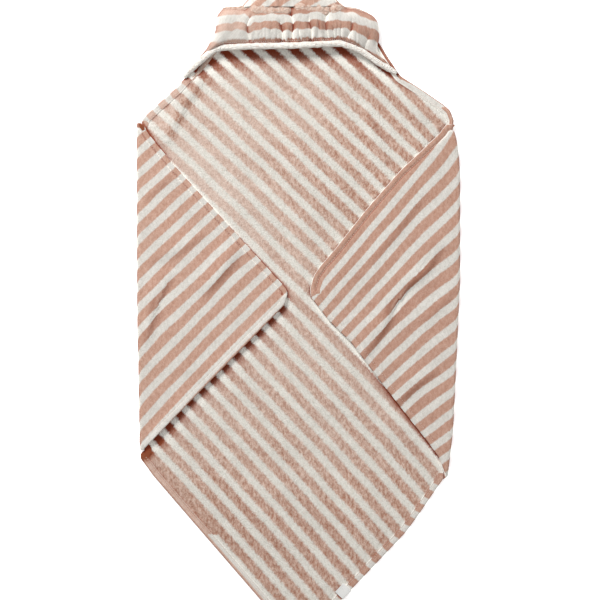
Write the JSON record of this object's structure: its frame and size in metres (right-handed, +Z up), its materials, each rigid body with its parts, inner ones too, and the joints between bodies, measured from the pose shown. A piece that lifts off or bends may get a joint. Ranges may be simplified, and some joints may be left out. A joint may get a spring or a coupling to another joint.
{
  "type": "hooded baby towel",
  "caption": "Square terry towel with a gathered hood sewn to one corner, laid flat with its side corners folded over the middle.",
  "frame": {"origin": "on the table under the middle of the laid-out towel", "axes": "+Z up from the table, +Y along the towel towards the tip of the hood, +X towards the right-hand side corner"},
  "size_m": [0.5444, 1.19, 0.0357],
  "materials": {
    "striped_terry": "cotton terry in stripes of dusty rose and off-white",
    "pale_binding": "off-white knitted cotton binding",
    "sewing_thread": "matte off-white cotton thread",
    "label_tape": "smooth white woven tape",
    "elastic": "white braided elastic"
  },
  "bodies": {
    "root": {"center_panel": "striped_terry", "lower_right_hem": "striped_terry", "lower_right_hem_thread": "sewing_thread", "lower_left_hem": "striped_terry", "lower_left_hem_thread": "sewing_thread", "right_shoulder_hem": "striped_terry", "right_shoulder_hem_thread": "sewing_thread", "left_shoulder_hem": "striped_terry", "left_shoulder_hem_thread": "sewing_thread", "label": "label_tape", "label_thread": "sewing_thread"},
    "left_flap": {"left_flap_panel": "striped_terry", "left_flap_upper_hem": "striped_terry", "left_flap_upper_hem_thread": "sewing_thread", "left_flap_lower_hem": "striped_terry", "left_flap_lower_hem_thread": "sewing_thread"},
    "right_flap": {"right_flap_panel": "striped_terry", "right_flap_upper_hem": "striped_terry", "right_flap_upper_hem_thread": "sewing_thread", "right_flap_lower_hem": "striped_terry", "right_flap_lower_hem_thread": "sewing_thread"},
    "hood": {"hood_back_panel": "striped_terry", "hood_left_side_seam": "striped_terry", "hood_right_side_seam": "striped_terry", "hood_brim": "striped_terry", "hood_crown": "striped_terry", "rim_binding": "pale_binding", "rim_binding_thread": "sewing_thread", "crown_seam": "striped_terry", "brim_elastic": "elastic"}
  },
  "joints": [
    {"name": "left_flap_fold", "type": "hinge", "parent": "root", "child": "left_flap", "pos_m": [-0.2725, 0.303, 0.0055], "axis": [0.0078, -1, 0], "range_deg": [0, 175]},
    {"name": "right_flap_fold", "type": "hinge", "parent": "root", "child": "right_flap", "pos_m": [0.2725, 0.308, 0.0055], "axis": [0.0266, 0.9996, 0], "range_deg": [0, 175]},
    {"name": "hood_lift", "type": "hinge", "parent": "root", "child": "hood", "pos_m": [0, 0.365, 0.0052], "axis": [1, 0, 0], "range_deg": [0, 110]}
  ]
}
